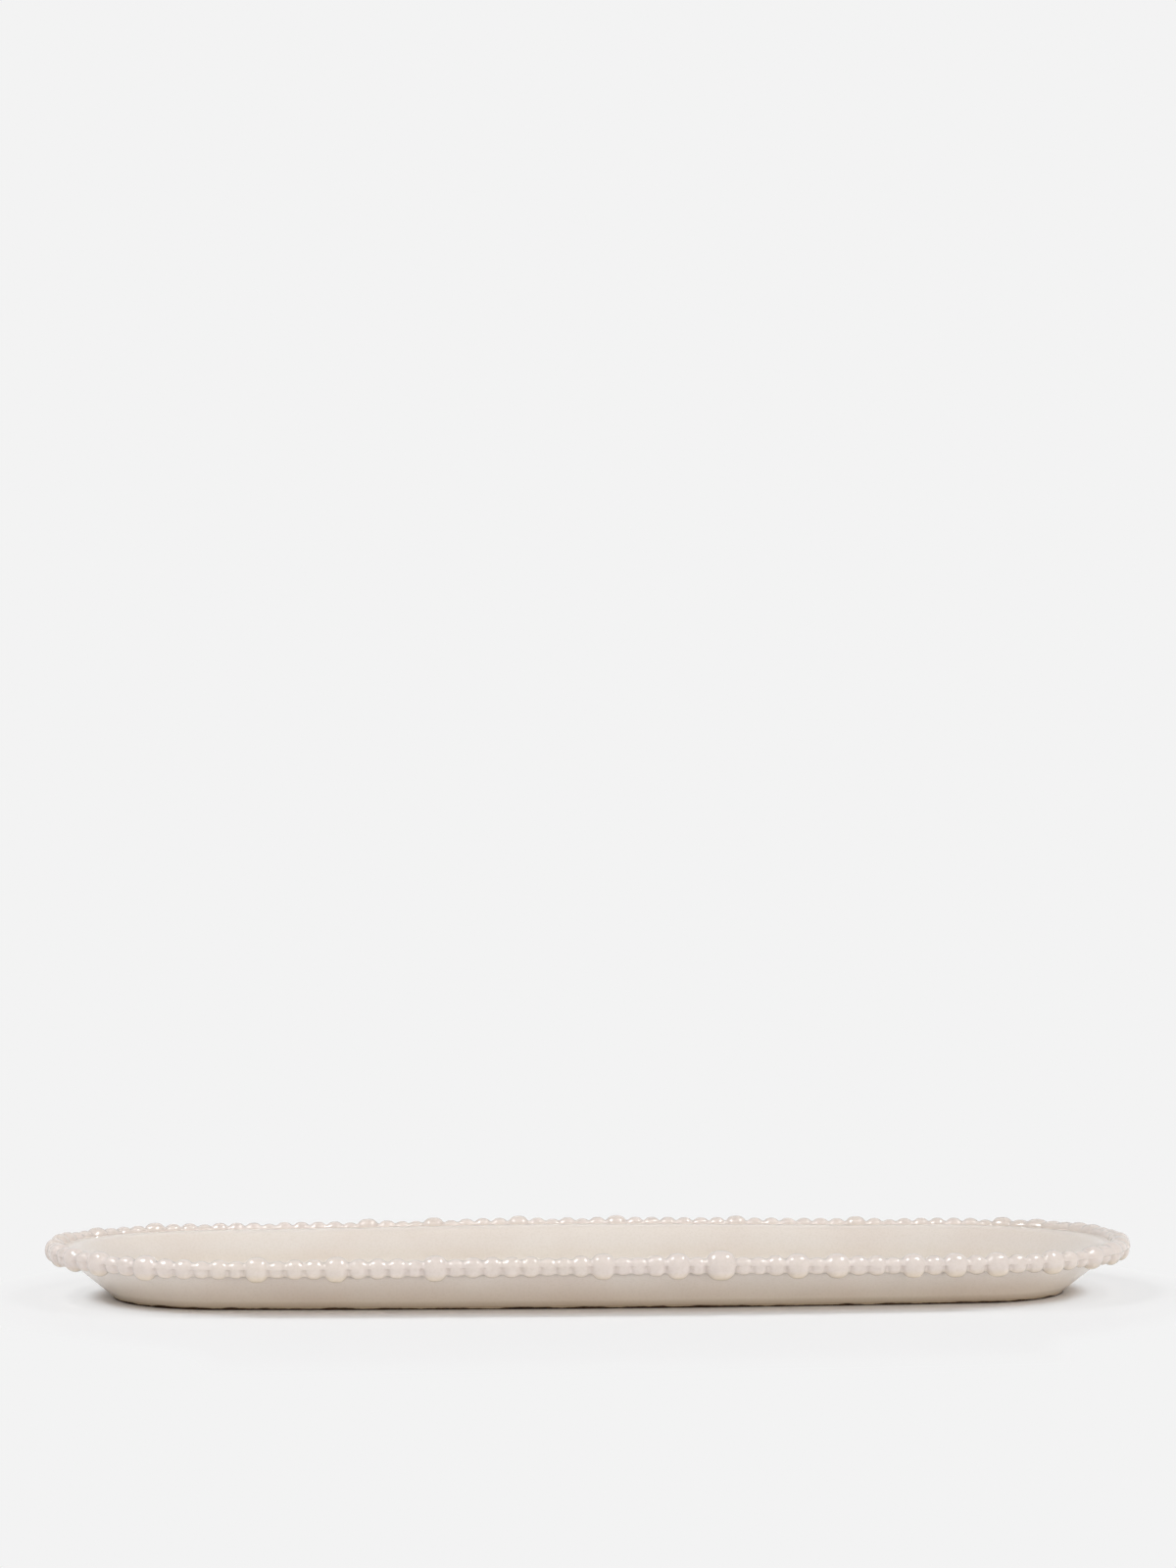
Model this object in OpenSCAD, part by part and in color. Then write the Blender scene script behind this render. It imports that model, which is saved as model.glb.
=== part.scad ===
// Asparagus plate: a long shallow dish with a border of pearls of mixed sizes, on a bare clay foot ring.
// The origin is on the table under the middle of the plate, with the length along X.
// The rim line is the closed line through the centres of the pearls. A section through the wall is drawn as
// [inset, height]: how far inside the rim line a point lies, and how far above the table.

/* [Rim line] */
// Length of the rim line, from tip to tip
rim_line_length = 394; // [300:1:480]
// Width of the rim line across the middle
rim_line_width = 140; // [110:1:170]
// How far the long sides bow out past the rounded ends
side_bow = 5; // [3:0.5:10]

/* [Rim] */
// Height of the flat ledge inside the pearls
rim_height = 17.7; // [16:0.1:24]
// Thickness of the rim at its edge, down to the top of the outer wall
rim_thickness = 4.5; // [3.5:0.1:5.5]
// Overhang of the rim line past the top of the outer wall
rim_overhang = 5.3; // [4:0.1:7]
// Reach of the thin seam lip out past the rim line
lip_reach = 1.1; // [0.5:0.1:1.6]
// Thickness of the seam lip
lip_thickness = 0.8; // [0.5:0.1:1.4]
// Inset of the rim's outer edge from the rim line, above and below the lip
rim_edge_inset = 1.1; // [0.8:0.1:1.6]
// Depth of the pearl centres below the ledge
pearl_drop = 1; // [0.6:0.1:1.6]

/* [Wall and floor] */
// Thickness of the sloping wall
wall_thickness = 4.8; // [4:0.1:6]
// Inset of the wall where it meets the foot ring
wall_foot_inset = 20; // [16:0.5:24]
// Thickness of the flat floor
floor_thickness = 4.5; // [3.5:0.1:6]
// Radius of the round between the floor and the wall
floor_corner_radius = 12; // [6:0.5:16]
// Radius of the round between the wall and the ledge
ledge_corner_radius = 3; // [1.5:0.1:4]

/* [Foot ring] */
// Height of the foot ring
foot_height = 1.5; // [1:0.1:3]
// Width of the face that the foot ring stands on
foot_face_width = 3.8; // [3:0.1:6]
// Sideways run of the foot ring's bevels
foot_bevel = 0.5; // [0.3:0.1:1]

/* [Pearls] */
// Diameter of a small pearl
small_pearl = 5; // [4.5:0.1:5.4]
// Diameter of a medium pearl
medium_pearl = 6.2; // [5.6:0.1:6.8]
// Diameter of a large pearl
large_pearl = 8.2; // [7.4:0.1:9]
// Diameter of an extra large pearl
extra_large_pearl = 10.2; // [9.2:0.1:11]
// Gap between neighbouring pearls
pearl_gap = 0.42; // [0.2:0.02:0.8]

/* [Hidden] */

// Sizes of the pearls, small, medium, large or extra large, in their order from the left tip along the front
// to the right tip, and back along the far side
FRONT_ROW = "LMLMLMLSMLMMSMSLSMMLMMMSLSMMMMSSMLSSMLSXSSMLSLMMSLMLMLMMLMSLMLMLML";
FAR_ROW = "MMLLMMLMLSMMMMMSMLMMMMMMLMMMMMMLMSMSMLMMMSLSSMLSMMMMSMMMSMMLMMMLMMLL";
PEARL_ROW = str("M", FRONT_ROW, "M", FAR_ROW);

// Facets in a full turn of each kind of arc, and steps in a rounded corner
end_facets = 240;
side_facets = 1440;
pearl_facets = 48;
corner_steps = 6;

// Rim line: two end arcs and two long side arcs that meet them smoothly
half_length = rim_line_length / 2;
half_width = rim_line_width / 2;
end_radius = half_width - side_bow;
end_centre = half_length - end_radius;
side_centre = (end_centre ^ 2 / side_bow - side_bow) / 2;
side_radius = side_centre + half_width;
side_turn = 2 * atan(end_centre / side_centre);
end_turn = 180 - side_turn;
end_arc = end_radius * end_turn * PI / 180;
side_arc = side_radius * side_turn * PI / 180;
rim_line = 2 * (end_arc + side_arc);

// Section of the dish: the inner face is the outer one moved inward by the wall thickness
pearl_height = rim_height - pearl_drop;
wall_top = rim_height - rim_thickness;
wall_slope = (wall_foot_inset - rim_overhang) / (wall_top - foot_height);
wall_across = wall_thickness * sqrt(1 + wall_slope ^ 2);
floor_height = foot_height + floor_thickness;
wall_tilt = atan(wall_slope);
floor_corner_run = floor_corner_radius * tan((90 - wall_tilt) / 2);
// The flat floor ends here, on a whole number of steps past the round, and the swept wall one step further in
seam_step = 1;
floor_seam = seam_step * (ceil((inner_inset(floor_height) + floor_corner_run) / seam_step) + 1);
wall_end = floor_seam + seam_step;

function outer_inset(height) = rim_overhang + (wall_top - height) * wall_slope;
function inner_inset(height) = outer_inset(height) + wall_across;
function unit(v) = v / norm(v);

// The corner between two straight runs, rounded to a radius
function rounded(before, corner, after, radius) =
    let (
        back = unit(before - corner),
        ahead = unit(after - corner),
        half = acos(back * ahead) / 2,
        centre = corner + unit(back + ahead) * radius / sin(half),
        start = corner + back * radius / tan(half) - centre,
        end = corner + ahead * radius / tan(half) - centre,
        turn = 180 - 2 * half
    )
    [for (i = [0:corner_steps])
        let (k = i / corner_steps)
        centre + (sin((1 - k) * turn) * start + sin(k * turn) * end) / sin(turn)];

// Outer edge of the rim with its seam lip, from the ledge down to the top of the outer wall
rim_edge = [
    [rim_edge_inset, rim_height],
    [-lip_reach, pearl_height + lip_thickness / 2],
    [-lip_reach, pearl_height - lip_thickness / 2],
    [rim_edge_inset, pearl_height - rim_thickness / 2],
    [rim_overhang, wall_top]
];

dish_section =
    let (
        floor_edge = [wall_end, floor_height],
        floor_corner = [inner_inset(floor_height), floor_height],
        ledge_corner = [inner_inset(rim_height), rim_height]
    )
    concat(
        [floor_edge],
        rounded(floor_edge, floor_corner, ledge_corner, floor_corner_radius),
        rounded(floor_corner, ledge_corner, rim_edge[0], ledge_corner_radius),
        rim_edge,
        [[wall_foot_inset, foot_height], [wall_end, foot_height]]
    );

// The foot ring narrows downward by a bevel on each side
foot_outer = wall_foot_inset + foot_bevel;
foot_section = [
    [wall_foot_inset, foot_height],
    [foot_outer, 0],
    [foot_outer + foot_face_width, 0],
    [foot_outer + foot_face_width + foot_bevel, foot_height]
];

// A section swept round a quarter of the plate. It is drawn with the X axis through the centres of both arcs,
// so that the arcs start on one and the same face, and they run past the quarter and are trimmed to it.
module quarter(section) {
    drawn = [for (p = section) [-p.x, p.y]];
    end_run = 90 - side_turn / 4;
    side_run = side_turn;
    centre_step = side_radius - end_radius;
    intersection() {
        translate([end_centre, 0]) rotate(90 - side_turn / 2) {
            rotate_extrude(angle = end_run, start = -end_run, $fn = end_facets)
                translate([end_radius, 0]) polygon(drawn);
            translate([-centre_step, 0])
                rotate_extrude(angle = side_run, $fn = side_facets)
                    translate([side_radius, 0]) polygon(drawn);
        }
        cube([rim_line_length, rim_line_width, rim_line_width]);
    }
}

// A section swept all the way round the plate
module swept(section) {
    for (x = [0, 1], y = [0, 1]) mirror([x, 0]) mirror([0, y]) quarter(section);
}

// The flat floor, which overlaps the swept wall all the way round
module floor_slab() {
    translate([0, 0, foot_height])
        linear_extrude(floor_thickness) {
            for (x = [-end_centre, end_centre])
                translate([x, 0]) circle(end_radius - floor_seam, $fn = end_facets);
            intersection() {
                square([2 * end_centre, rim_line_width], center = true);
                intersection_for(y = [-side_centre, side_centre])
                    translate([0, y]) circle(side_radius - floor_seam, $fn = side_facets);
            }
        }
}

function pearl_diameter(size) =
    size == "S" ? small_pearl :
    size == "M" ? medium_pearl :
    size == "L" ? large_pearl : extra_large_pearl;

// How far along the rim line each pearl would start, before the row is fitted to the line
pearl_starts = [for (i = 0, at = 0; i <= len(PEARL_ROW);
    at = at + pearl_diameter(PEARL_ROW[min(i, len(PEARL_ROW) - 1)]) + pearl_gap, i = i + 1) at];
// All the pearls grow or shrink by this much, so that the row closes
pearl_fit = rim_line / pearl_starts[len(PEARL_ROW)];
// How far past the left tip, along the front, the centre of a pearl lies, with the first one on the tip
function pearl_distance(i) = (pearl_starts[i] + pearl_starts[i + 1] - pearl_starts[1]) / 2 * pearl_fit;

// The arc under a distance from the left tip along the front, as its centre, its radius and the angle on it
function rim_arc(run) =
    let (half_line = rim_line / 2, left = half_line - run)
    run < end_arc / 2 ? [[-end_centre, 0], end_radius, 180 + run / end_arc * end_turn] :
    left < end_arc / 2 ? [[end_centre, 0], end_radius, -left / end_arc * end_turn] :
    [[0, side_centre], side_radius, 270 + (run - half_line / 2) / side_arc * side_turn];

// Puts the children on the rim line at a distance from the left tip, with X pointing outward
module on_rim(distance) {
    far = distance > rim_line / 2;
    arc = rim_arc(far ? distance - rim_line / 2 : distance);
    rotate(far ? 180 : 0) translate(arc[0]) rotate(arc[2]) translate([arc[1], 0, pearl_height]) children();
}

// The part of the rim that a pearl sits round
module seat() {
    depth = extra_large_pearl;
    edge = concat([[depth, rim_height]], rim_edge, [[depth, wall_top]]);
    rotate([90, 0, 0])
        linear_extrude(depth * 2, center = true) polygon([for (p = edge) [-p.x, p.y - pearl_height]]);
}

// All the pearls of one size
module pearls(size) {
    color("#E3DAD2") for (i = [0:len(PEARL_ROW) - 1]) if (PEARL_ROW[i] == size)
        on_rim(pearl_distance(i))
            difference() {
                sphere(d = pearl_diameter(size) * pearl_fit, $fn = pearl_facets);
                seat();
            }
}

module dish() {
    color("#DDD3C9") {
        swept(dish_section);
        floor_slab();
    }
}

module foot_ring() {
    color("#8C7356") swept(foot_section);
}

module small_pearls() { pearls("S"); }
module medium_pearls() { pearls("M"); }
module large_pearls() { pearls("L"); }
module extra_large_pearls() { pearls("X"); }

dish();
foot_ring();
small_pearls();
medium_pearls();
large_pearls();
extra_large_pearls();
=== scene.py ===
import math
from collections import namedtuple

import bmesh
import bpy
import numpy as np
from mathutils import Matrix, Vector


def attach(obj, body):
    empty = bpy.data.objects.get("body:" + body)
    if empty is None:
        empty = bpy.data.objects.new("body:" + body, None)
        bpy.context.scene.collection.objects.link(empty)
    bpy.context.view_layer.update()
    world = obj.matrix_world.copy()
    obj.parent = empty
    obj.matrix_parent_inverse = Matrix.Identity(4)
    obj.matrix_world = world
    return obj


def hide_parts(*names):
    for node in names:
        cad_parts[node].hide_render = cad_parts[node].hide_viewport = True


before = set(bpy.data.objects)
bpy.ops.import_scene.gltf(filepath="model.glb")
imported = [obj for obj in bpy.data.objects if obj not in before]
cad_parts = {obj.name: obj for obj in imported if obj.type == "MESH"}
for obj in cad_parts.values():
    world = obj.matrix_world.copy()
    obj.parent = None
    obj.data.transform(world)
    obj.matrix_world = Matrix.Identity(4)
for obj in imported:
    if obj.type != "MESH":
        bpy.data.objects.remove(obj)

bl_info = {
    "name": "Asparagus plate",
    "version": (1, 0, 0),
    "blender": (4, 5, 0),
    "location": "3D View > Sidebar > Asparagus plate",
    "description": "Builds a glazed asparagus plate with a border of pearls on a clay foot ring",
    "category": "Add Mesh",
}

MM = 0.001
WHITE = "#FFFFFF"

# Kinds of pearls, small, medium, large or extra large, in their order from the left tip along the
# front to the right tip, and back along the far side
FRONT_ROW = "LMLMLMLSMLMMSMSLSMMLMMMSLSMMMMSSMLSSMLSXSSMLSLMMSLMLMLMMLMSLMLMLML"
FAR_ROW = "MMLLMMLMLSMMMMMSMLMMMMMMLMMMMMMLMSMSMLMMMSLSSMLSMMMMSMMMSMMLMMMLMMLL"
PEARL_ROW = "M" + FRONT_ROW + "M" + FAR_ROW


def metres(name, description, default):
    """A length that a user may change, in metres."""
    return bpy.props.FloatProperty(name=name, description=description, default=default,
                                   precision=5, subtype="DISTANCE", unit="LENGTH")


def degrees(name, description, default):
    """An angle that a user may change, given in degrees."""
    return bpy.props.FloatProperty(name=name, description=description,
                                   default=math.radians(default), subtype="ANGLE")


def hex_colour(name, description, default):
    """A colour that a user may change, as an sRGB hex value."""
    return bpy.props.StringProperty(name=name, description=description, default=default)


class PlateSizes(bpy.types.PropertyGroup):
    """Sizes of the plate, the same as those of its solids, and of what the firing has done to it"""

    rim_line_length: metres(
        "Rim line length", "Length of the line through the pearls, tip to tip", 394 * MM)
    rim_line_width: metres("Rim line width", "Width of the line through the pearls", 140 * MM)
    side_bow: metres("Side bow", "How far the long sides bow out past the rounded ends", 5 * MM)
    rim_height: metres("Rim height", "Height of the flat ledge inside the pearls", 17.7 * MM)
    rim_thickness: metres("Rim thickness", "Thickness of the rim at its edge", 4.5 * MM)
    rim_overhang: metres(
        "Rim overhang", "Overhang of the rim line past the top of the wall", 5.3 * MM)
    lip_reach: metres("Lip reach", "Reach of the seam lip past the rim line", 1.1 * MM)
    lip_thickness: metres("Lip thickness", "Thickness of the seam lip", 0.8 * MM)
    rim_edge_inset: metres(
        "Rim edge inset", "Inset of the rim's edge above and below the lip", 1.1 * MM)
    pearl_drop: metres("Pearl drop", "Depth of the pearl centres below the ledge", 1 * MM)
    wall_thickness: metres("Wall thickness", "Thickness of the sloping wall", 4.8 * MM)
    wall_foot_inset: metres(
        "Wall foot inset", "Inset of the wall where it meets the foot ring", 20 * MM)
    floor_thickness: metres("Floor thickness", "Thickness of the flat floor", 4.5 * MM)
    foot_height: metres("Foot height", "Height of the foot ring", 1.5 * MM)
    foot_face_width: metres(
        "Foot face width", "Width of the face that the plate stands on", 3.8 * MM)
    foot_bevel: metres("Foot bevel", "Sideways run of the foot ring's bevels", 0.5 * MM)
    glaze_end: metres("Glaze end", "Height above the table at which the glaze stops", 1.1 * MM)
    small_pearl: metres("Small pearl", "Diameter of a small pearl", 5 * MM)
    medium_pearl: metres("Medium pearl", "Diameter of a medium pearl", 6.2 * MM)
    large_pearl: metres("Large pearl", "Diameter of a large pearl", 8.2 * MM)
    extra_large_pearl: metres(
        "Extra large pearl", "Diameter of the extra large pearl", 10.2 * MM)
    pearl_gap: metres("Pearl gap", "Gap between neighbouring pearls", 0.42 * MM)
    neck_out: metres(
        "Neck reach", "Reach of the glaze between pearls, outward above the seam", 2.4 * MM)
    neck_up: metres("Neck rise", "Rise of the glaze between pearls above the seam", 2.15 * MM)
    core_out: metres(
        "Core reach", "Reach of the rim's edge between pearls, outward under the seam", 1.6 * MM)
    core_down: metres(
        "Core depth", "Depth of the rim's edge between pearls under the seam", 2.65 * MM)
    glaze_fillet: metres(
        "Glaze fillet", "How far glaze fills the corner between pearl and neck", 0.75 * MM)
    tip_lift: metres("Tip lift", "How far the firing has lifted the rim at both tips", 0.8 * MM)
    side_rise: metres(
        "Side rise", "How far it has lifted the rim's middle and lowered its ends", 0.5 * MM)
    twist: metres("Twist", "How far it has turned the rim from the left to the right", 0.6 * MM)


class PlateFinish(bpy.types.PropertyGroup):
    """Colours of the plate"""

    glaze: hex_colour("Glaze", "Cream glaze of the dish", "#E3DBD4")
    glaze_thin: hex_colour("Thin glaze", "Cream glaze where it runs thin", "#E0D6CE")
    # Glaze at the foot: thin glaze with the clay showing through, made darker still as painted
    # shade in the recess by the floor
    foot_glaze_and_shade: hex_colour(
        "Glaze at the foot", "Glaze so thin that the clay shows through", "#AC9A84")
    pearl_glaze: hex_colour("Pearl glaze", "Thick glaze on the pearls", "#DBD1CC")
    pearl_thin: hex_colour(
        "Thin pearl glaze", "Glaze on the pearls where it runs thin", "#DAD0C9")
    # Foot and wall shades: glaze darker and warmer towards the foot, partly warmer thin glaze and
    # partly painted shade where the wall nears the floor
    foot_shade: hex_colour(
        "Foot shade", "Shade over the glaze where it ends above the foot", "#CDC1AD")
    wall_shade: hex_colour("Wall shade", "Shade over the glaze low on the wall", "#FFFBF3")
    # Pearl shade: the pearls warmer and a little darker low down, under the seam
    pearl_shade: hex_colour(
        "Pearl shade", "Shade over the thinner glaze under the pearls", "#FFFAE8")
    # Bare clay colours: brown clay, made much darker as painted shade for the line where the foot
    # meets the floor
    clay: hex_colour("Clay", "Bare stoneware clay", "#3C2512")
    clay_dark_and_shade: hex_colour("Dark clay", "Toasted edge of the bare clay", "#1E1106")


class PlateStage(bpy.types.PropertyGroup):
    """Camera, light and floor"""

    focal_pixels: bpy.props.FloatProperty(
        name="Focal length", description="Focal length in pixels of the full frame", default=2601)
    distance: metres("Camera distance", "From the camera to the middle of the foot", 0.9645)
    elevation: degrees("Elevation", "Angle of the camera above the table", 7.2)
    azimuth: degrees("Azimuth", "Angle of the camera round the plate", -4.91)
    roll: degrees("Roll", "Turn of the picture", 0.114)
    backdrop: hex_colour("Backdrop", "Colour of the pale background", "#F3F3F3")
    floor: hex_colour("Floor", "Colour of the floor", "#F6F6F8")


# ---------------------------------------------------------------- sums


def ramp(value, start, length):
    """How far a value lies past a start, as a share of a length, from 0 to 1."""
    return np.clip((value - start) / length, 0, 1)


def smooth(share):
    """A share from 0 to 1 that leaves 0 and reaches 1 softly: 3 times its square less 2 times its
    cube."""
    return share ** 2 * (3 - 2 * share)


def soft_max(a, b, blend):
    """The larger of two lengths, with the corner between them filled over a blend length."""
    near = np.maximum(blend - np.abs(a - b), 0) / blend
    return np.maximum(a, b) + near ** 2 * blend / 4


def superellipse(across, up, half_width, half_height, power):
    """Radius of a superellipse in the direction whose cosine and sine are across and up. A power of
    2 gives an ellipse, and more gives fuller corners."""
    return (np.abs(across / half_width) ** power
            + np.abs(up / half_height) ** power) ** (-1 / power)


# ---------------------------------------------------------------- rim line

# Angle at the tips of the cosine that the warped rim follows, the power with which the tips rise,
# and the square of the share of the right half at which the rim's turn changes side
WARP_ANGLE = 1.5 * math.pi
TIP_POWER = 6
LEVEL_SHARE = 0.4


class RimLine:
    """The closed line through the pearl centres: two end arcs and two long side arcs that meet them
    smoothly. The pearls follow each other on it, all grown or shrunk a little so that the row
    closes, with the first one on the left tip."""

    def __init__(self, sizes):
        self.half_length = sizes.rim_line_length / 2
        self.half_width = sizes.rim_line_width / 2
        self.end_radius = self.half_width - sizes.side_bow
        self.end_centre = self.half_length - self.end_radius
        self.side_centre = (self.end_centre ** 2 / sizes.side_bow - sizes.side_bow) / 2
        self.side_radius = self.side_centre + self.half_width
        self.side_turn = 2 * math.atan(self.end_centre / self.side_centre)
        self.end_turn = math.pi - self.side_turn
        self.end_arc = self.end_radius * self.end_turn
        self.side_arc = self.side_radius * self.side_turn
        self.length = 2 * (self.end_arc + self.side_arc)
        diameter = {"S": sizes.small_pearl, "M": sizes.medium_pearl, "L": sizes.large_pearl,
                    "X": sizes.extra_large_pearl}
        steps = np.array([diameter[kind] + sizes.pearl_gap for kind in PEARL_ROW])
        fit = self.length / steps.sum()
        ends = np.cumsum(steps) * fit
        self.pearl_start = ends - steps * fit - steps[0] * fit / 2
        self.pearl_end = ends - steps[0] * fit / 2
        self.pearl_radius = np.array([diameter[kind] / 2 for kind in PEARL_ROW]) * fit

    def at(self, distance):
        """Point and outward direction at a distance past the left tip along the front. Along half
        of the line the point runs on the left end arc, then on the front side arc, then on the
        right end arc, at an angle that grows with the distance. The far half is the same, turned by
        half a turn."""
        half = self.length / 2
        run = np.mod(distance, self.length)
        far = run >= half
        run = np.where(far, run - half, run)
        left = half - run
        first, last = run < self.end_arc / 2, left < self.end_arc / 2
        angle = np.where(
            first, math.pi + run / self.end_radius,
            np.where(last, -left / self.end_radius,
                     1.5 * math.pi + (run - half / 2) / self.side_radius))
        radius = np.where(first | last, self.end_radius, self.side_radius)
        centre_x = np.where(first, -self.end_centre, np.where(last, self.end_centre, 0))
        centre_y = np.where(first | last, 0, self.side_centre)
        out_x, out_y = np.cos(angle), np.sin(angle)
        turn = np.where(far, -1, 1)
        return (turn * (centre_x + radius * out_x), turn * (centre_y + radius * out_y),
                turn * out_x, turn * out_y)

    def spread(self, count):
        """A number of distances along the line, evenly spread."""
        return (np.arange(count) + 0.5) / count * self.length

    def nearest_on_axis(self, points):
        """The point closest to each point on the long axis between the centres of the end arcs."""
        axis = points.copy()
        axis[..., 0] = np.clip(points[..., 0], -self.end_centre, self.end_centre)
        axis[..., 1] = 0
        return axis


def swept(rim, section, distances):
    """Grid of points: each [inset, height] of the section, moved inward from the rim line along its
    outward direction, at each distance along the line."""
    x, y, out_x, out_y = rim.at(distances)
    inset, height = section[:, 0], section[:, 1]
    return np.stack([x[:, None] - inset * out_x[:, None], y[:, None] - inset * out_y[:, None],
                     np.broadcast_to(height, (len(x), len(height)))], -1)


def warp(points, sizes):
    """Lifts points as the firing has. The lift grows with the height squared, so that the foot
    stays flat. Along the plate the rim follows a cosine, up in the middle and down at two thirds of
    the way to the tips, which rise with the sixth power of the way. The rim also turns about the
    long axis: near side up along the left and the middle, far side up at the right end."""
    x, y, z = points.T
    share = np.clip(z / sizes.rim_height, 0, 1) ** 2
    along = x / (0.5 * sizes.rim_line_length)
    across = y / (0.5 * sizes.rim_line_width)
    lift = sizes.side_rise * np.cos(WARP_ANGLE * along) + sizes.tip_lift * along ** TIP_POWER
    turn = sizes.twist * (np.clip(along, 0, 1) ** 2 - LEVEL_SHARE)
    points[:, 2] += share * (lift + turn * across)


# ---------------------------------------------------------------- meshes

# A rounding takes up at most this share of the straight runs beside it, and what is left of them is
# divided into steps this many times as long
RUN_SHARE = 0.48
RUN_STEPS = 3
# Points closer than this are joined
WELD_DISTANCE = 0.002 * MM


def new_piece(name, points, faces, material, flat=None):
    """A mesh object at the origin from an array of points and rows of faces, smooth but for those
    that the mask says are flat."""
    mesh = bpy.data.meshes.new(name)
    mesh.from_pydata(points.tolist(), [], [tuple(face) for face in faces])
    smooth_faces = np.ones(len(mesh.polygons), bool) if flat is None else ~flat
    mesh.polygons.foreach_set("use_smooth", smooth_faces)
    mesh.materials.append(material)
    mesh.update()
    piece = bpy.data.objects.new(name, mesh)
    bpy.context.scene.collection.objects.link(piece)
    return piece


def weld(mesh):
    """Joins points that coincide, and turns the faces outward."""
    work = bmesh.new()
    work.from_mesh(mesh)
    bmesh.ops.remove_doubles(work, verts=work.verts, dist=WELD_DISTANCE)
    bmesh.ops.recalc_face_normals(work, faces=work.faces)
    work.to_mesh(mesh)
    work.free()
    mesh.update()


def grid_faces(rows, columns, closed_rows, closed_columns):
    """Corners of the faces between neighbouring rows and columns of a grid of points."""
    i, j = np.meshgrid(np.arange(rows if closed_rows else rows - 1),
                       np.arange(columns if closed_columns else columns - 1), indexing="ij")
    a, b = (i + 1) % rows, (j + 1) % columns
    return np.stack([i * columns + j, a * columns + j, a * columns + b, i * columns + b],
                    -1).reshape(-1, 4)


def softened(section, step):
    """A polyline of [inset, height] from a section's corners, each [inset, height, rounding]. Each
    corner becomes a parabola that leaves and meets the straight runs at its rounding's distance
    from it, and the runs are divided into steps."""
    section = np.array(section, float)
    bends, roundings = section[:, :2], section[1:-1, 2]
    line = [bends[0]]
    for before, corner, after, rounding in zip(bends[:-2], bends[1:-1], bends[2:], roundings):
        back, ahead = before - corner, after - corner
        reach = min(rounding, RUN_SHARE * np.linalg.norm(back), RUN_SHARE * np.linalg.norm(ahead))
        start = corner + back / np.linalg.norm(back) * reach
        end = corner + ahead / np.linalg.norm(ahead) * reach
        t = np.linspace(0, 1, max(2, int(2 * reach / step) + 2))[:, None]
        line.append((1 - t) ** 2 * start + 2 * t * (1 - t) * corner + t ** 2 * end)
    line.append(bends[-1])
    line = np.vstack(line)
    out = [line[:1]]
    for a, b in zip(line[:-1], line[1:]):
        count = max(1, int(round(np.linalg.norm(b - a) / (RUN_STEPS * step))))
        out.append(a + (b - a) * np.linspace(0, 1, count + 1)[1:, None])
    return np.vstack(out)


# ---------------------------------------------------------------- dish and foot ring

# Points round the rim line
DISH_COUNT = 768
FOOT_RING_COUNT = 720
# Lengths of the steps in the roundings of a section
DISH_STEP = 0.5 * MM
FOOT_RING_STEP = 0.15 * MM
# The swept floor and underside end at this inset, and straight rows of this many points go on from
# there to the long axis
FLOOR_SEAM = 30 * MM
FLOOR_ROWS = 8
# How far in past the wall's foot the end of the glaze goes on, above the foot ring
GLAZE_DEPTH = 1.6 * MM
# The foot ring's outer side starts this far inside the wall's foot, and ends this far inside the
# foot of its bevel. The ring runs up into the dish by the overlap.
RING_TOP_INSET = 0.4 * MM
RING_FOOT_INSET = 0.6 * MM
RING_OVERLAP = 0.1 * MM
# How far from a corner of a section its rounding starts
ROUNDINGS = {
    "floor": 7 * MM, "ledge": 2.2 * MM, "rim edge": 0.8 * MM, "lip": 0.35 * MM,
    "rim underside": 1 * MM, "wall top": 1.6 * MM, "wall foot": 0.6 * MM,
    "glaze end": 0.15 * MM, "glaze back": 0.05 * MM,
    "ring outside": 0.08 * MM, "ring inside": 0.2 * MM,
}


def dish_section(sizes):
    """Section of the dish, as [inset, height]: flat floor, round, sloping wall, round, ledge, seam
    lip, sloping outer wall, the glaze that runs down over the foot ring, and underside. The inner
    face of the wall is the outer one moved in by the wall's thickness measured level."""
    wall_top = sizes.rim_height - sizes.rim_thickness
    slope = (sizes.wall_foot_inset - sizes.rim_overhang) / (wall_top - sizes.foot_height)
    across = sizes.wall_thickness * math.sqrt(1 + slope ** 2)

    def inner(height):
        """Inset of the wall's inner face at a height."""
        return sizes.rim_overhang + (wall_top - height) * slope + across

    floor = sizes.foot_height + sizes.floor_thickness
    ledge = sizes.rim_height
    pearl = ledge - sizes.pearl_drop
    foot = sizes.wall_foot_inset
    edge = sizes.rim_edge_inset
    return softened([
        (FLOOR_SEAM, floor, 0),
        (inner(floor), floor, ROUNDINGS["floor"]),
        (inner(ledge), ledge, ROUNDINGS["ledge"]),
        (edge, ledge, ROUNDINGS["rim edge"]),
        (-sizes.lip_reach, pearl + sizes.lip_thickness / 2, ROUNDINGS["lip"]),
        (-sizes.lip_reach, pearl - sizes.lip_thickness / 2, ROUNDINGS["lip"]),
        (edge, pearl - sizes.rim_thickness / 2, ROUNDINGS["rim underside"]),
        (sizes.rim_overhang, wall_top, ROUNDINGS["wall top"]),
        (foot, sizes.foot_height, ROUNDINGS["wall foot"]),
        (foot + sizes.foot_bevel / 2, sizes.glaze_end, ROUNDINGS["glaze end"]),
        (foot + GLAZE_DEPTH, sizes.glaze_end, ROUNDINGS["glaze back"]),
        (foot + GLAZE_DEPTH, sizes.foot_height, ROUNDINGS["glaze back"]),
        (FLOOR_SEAM, sizes.foot_height, 0),
    ], DISH_STEP)


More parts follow.
